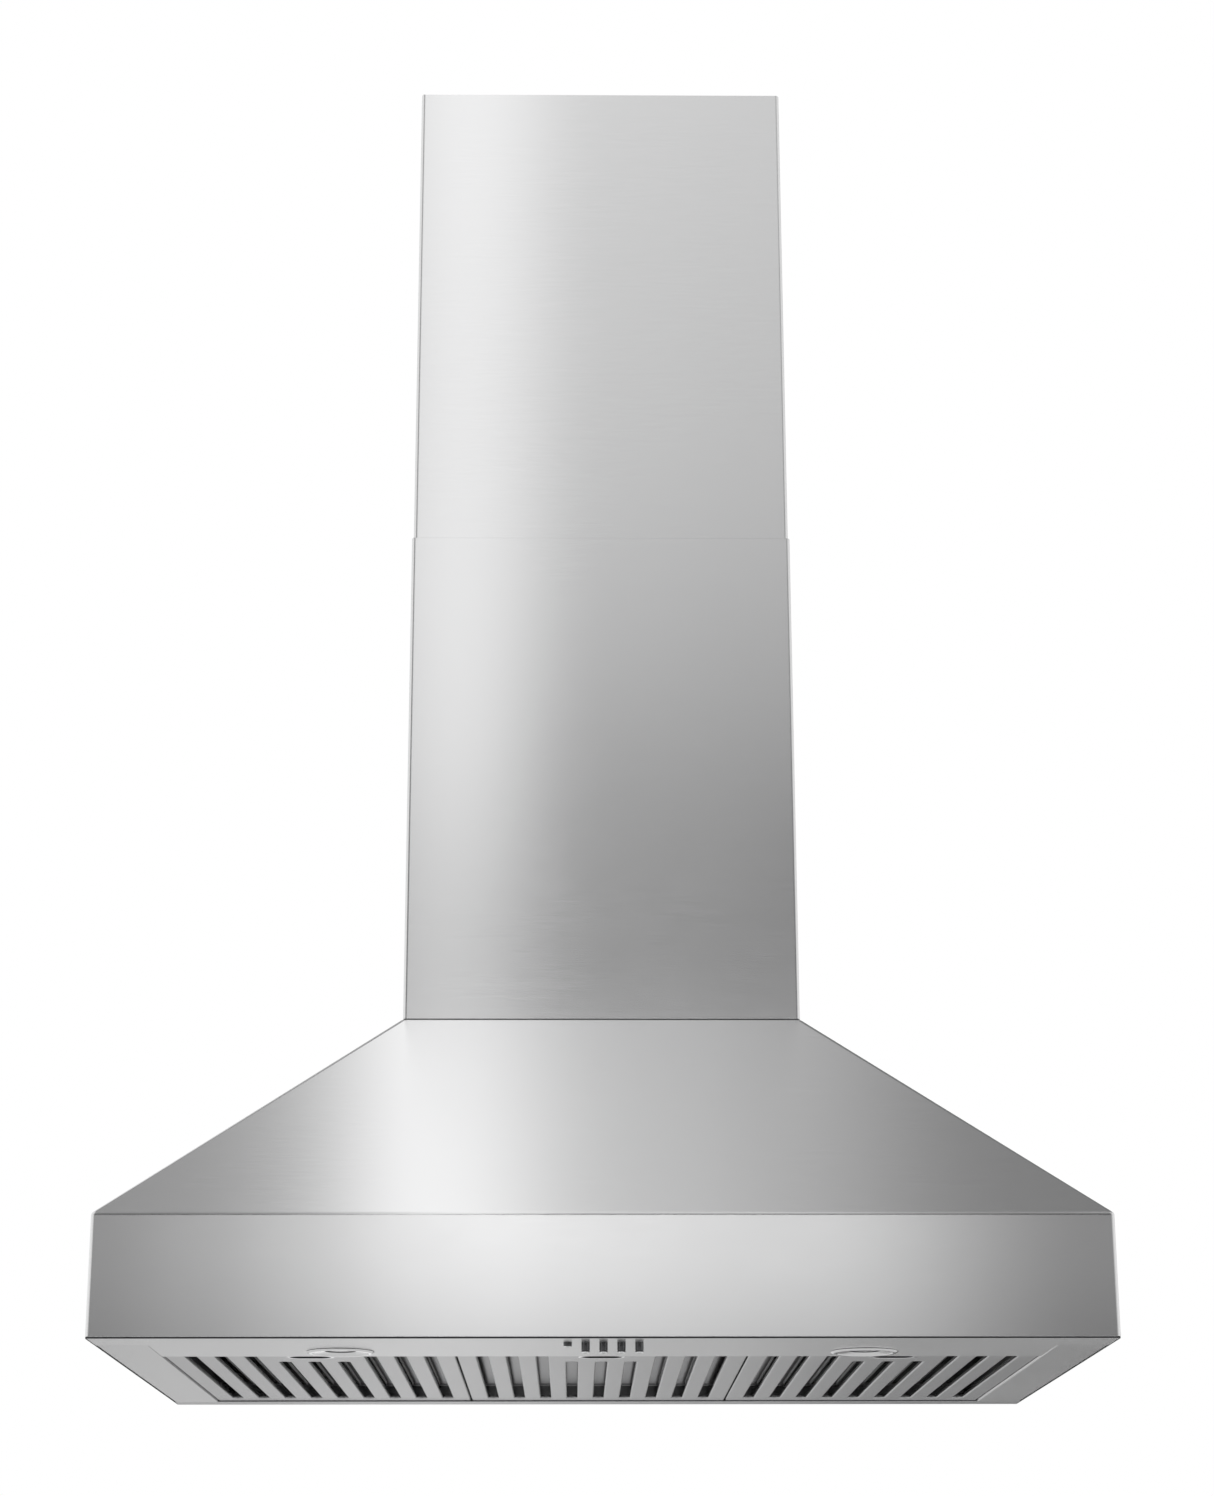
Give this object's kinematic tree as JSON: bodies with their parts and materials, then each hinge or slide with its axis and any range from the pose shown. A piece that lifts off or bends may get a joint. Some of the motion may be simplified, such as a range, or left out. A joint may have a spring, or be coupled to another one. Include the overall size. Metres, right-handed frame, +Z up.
{
  "type": "island range hood",
  "caption": "Ceiling-hung pyramid range hood with telescopic flue, slotted baffle filters that swing down, round lamps, push buttons and an inner blower.",
  "frame": {"origin": "middle of the ceiling plate's top face, on the ceiling plane", "axes": "+Z up along the flue, -Y towards the control panel side (front), +X to the right of someone facing the front"},
  "size_m": [0.914, 0.65, 1.3442],
  "materials": {
    "brushed_steel": "horizontally brushed stainless steel",
    "filter_steel": "satin stainless steel",
    "chrome": "polished chrome",
    "reflector": "bright reflector",
    "lamp_glass": "clear glass",
    "galvanised": "galvanised sheet",
    "spring_steel": "plain spring steel",
    "dark_plastic": "moulded black plastic",
    "motor_paint": "dark enamel"
  },
  "bodies": {
    "root": {"blower_housing_front": "galvanised", "blower_housing_rear": "galvanised", "cable_gland": "dark_plastic", "canopy_front": "brushed_steel", "canopy_left": "brushed_steel", "canopy_rear": "brushed_steel", "canopy_right": "brushed_steel", "canopy_top_plate": "galvanised", "ceiling_plate": "galvanised", "control_panel": "brushed_steel", "damper_pin": "spring_steel", "junction_box": "galvanised", "junction_box_cover": "galvanised", "lamp_bezel_left": "chrome", "lamp_bezel_right": "chrome", "lamp_glass_left": "lamp_glass", "lamp_glass_right": "lamp_glass", "lamp_housing_left": "reflector", "lamp_housing_right": "reflector", "left_rail": "brushed_steel", "lower_flue": "brushed_steel", "lower_strut_front_left": "galvanised", "lower_strut_front_right": "galvanised", "lower_strut_rear_left": "galvanised", "lower_strut_rear_right": "galvanised", "motor": "motor_paint", "motor_bracket": "galvanised", "outlet_collar": "galvanised", "rear_rail": "brushed_steel", "right_rail": "brushed_steel", "strut_bolt_front_left": "galvanised", "strut_bolt_front_right": "galvanised", "strut_bolt_rear_left": "galvanised", "strut_bolt_rear_right": "galvanised", "switch_body": "dark_plastic", "upper_strut_front_left": "galvanised", "upper_strut_front_right": "galvanised", "upper_strut_rear_left": "galvanised", "upper_strut_rear_right": "galvanised"},
    "upper_flue": {"upper_flue": "brushed_steel"},
    "impeller": {"impeller": "galvanised"},
    "damper_left": {"damper_flap_left": "galvanised"},
    "damper_right": {"damper_flap_right": "galvanised"},
    "filter_left": {"filter_face_left": "filter_steel", "filter_baffle_left": "filter_steel", "finger_cup_left": "chrome", "filter_clip_left": "spring_steel"},
    "filter_centre": {"filter_face_centre": "filter_steel", "filter_baffle_centre": "filter_steel", "finger_cup_centre": "chrome", "filter_clip_centre": "spring_steel"},
    "filter_right": {"filter_face_right": "filter_steel", "filter_baffle_right": "filter_steel", "finger_cup_right": "chrome", "filter_clip_right": "spring_steel"},
    "button_light": {"button_light": "chrome"},
    "button_fan_off": {"button_fan_off": "chrome"},
    "button_fan_low": {"button_fan_low": "chrome"},
    "button_fan_medium": {"button_fan_medium": "chrome"},
    "button_fan_high": {"button_fan_high": "chrome"}
  },
  "joints": [
    {"name": "upper_flue_slide", "type": "slide", "parent": "root", "child": "upper_flue", "axis": [0, 0, -1], "range_m": [0, 0.42]},
    {"name": "filter_left_swing", "type": "hinge", "parent": "root", "child": "filter_left", "pos_m": [-0.27267, 0.293, -1.3335], "axis": [1, 0, 0], "range_deg": [0, 85], "deforming": ["filter_clip_left"]},
    {"name": "filter_centre_swing", "type": "hinge", "parent": "root", "child": "filter_centre", "pos_m": [0, 0.293, -1.3335], "axis": [1, 0, 0], "range_deg": [0, 85], "deforming": ["filter_clip_centre"]},
    {"name": "filter_right_swing", "type": "hinge", "parent": "root", "child": "filter_right", "pos_m": [0.27267, 0.293, -1.3335], "axis": [1, 0, 0], "range_deg": [0, 85], "deforming": ["filter_clip_right"]},
    {"name": "button_light_push", "type": "slide", "parent": "root", "child": "button_light", "axis": [0, 0, -1], "range_m": [0, 0.005]},
    {"name": "button_fan_off_push", "type": "slide", "parent": "root", "child": "button_fan_off", "axis": [0, 0, 1], "range_m": [0, 0.005], "stiffness_N_per_m": 150, "springref_m": -0.002},
    {"name": "button_fan_low_push", "type": "slide", "parent": "root", "child": "button_fan_low", "axis": [0, 0, 1], "range_m": [0, 0.005], "stiffness_N_per_m": 150, "springref_m": -0.002},
    {"name": "button_fan_medium_push", "type": "slide", "parent": "root", "child": "button_fan_medium", "axis": [0, 0, 1], "range_m": [0, 0.005], "stiffness_N_per_m": 150, "springref_m": -0.002},
    {"name": "button_fan_high_push", "type": "slide", "parent": "root", "child": "button_fan_high", "axis": [0, 0, 1], "range_m": [0, 0.005], "stiffness_N_per_m": 150, "springref_m": -0.002},
    {"name": "impeller_spin", "type": "hinge", "parent": "root", "child": "impeller", "pos_m": [-0.007, 0, -1.135], "axis": [0, -1, 0], "continuous": true},
    {"name": "damper_left_swing", "type": "hinge", "parent": "root", "child": "damper_left", "pos_m": [0.09, 0, -0.9714], "axis": [0, 1, 0], "range_deg": [0, 75]},
    {"name": "damper_right_swing", "type": "hinge", "parent": "root", "child": "damper_right", "pos_m": [0.09, 0, -0.9714], "axis": [0, -1, 0], "range_deg": [0, 75]}
  ]
}
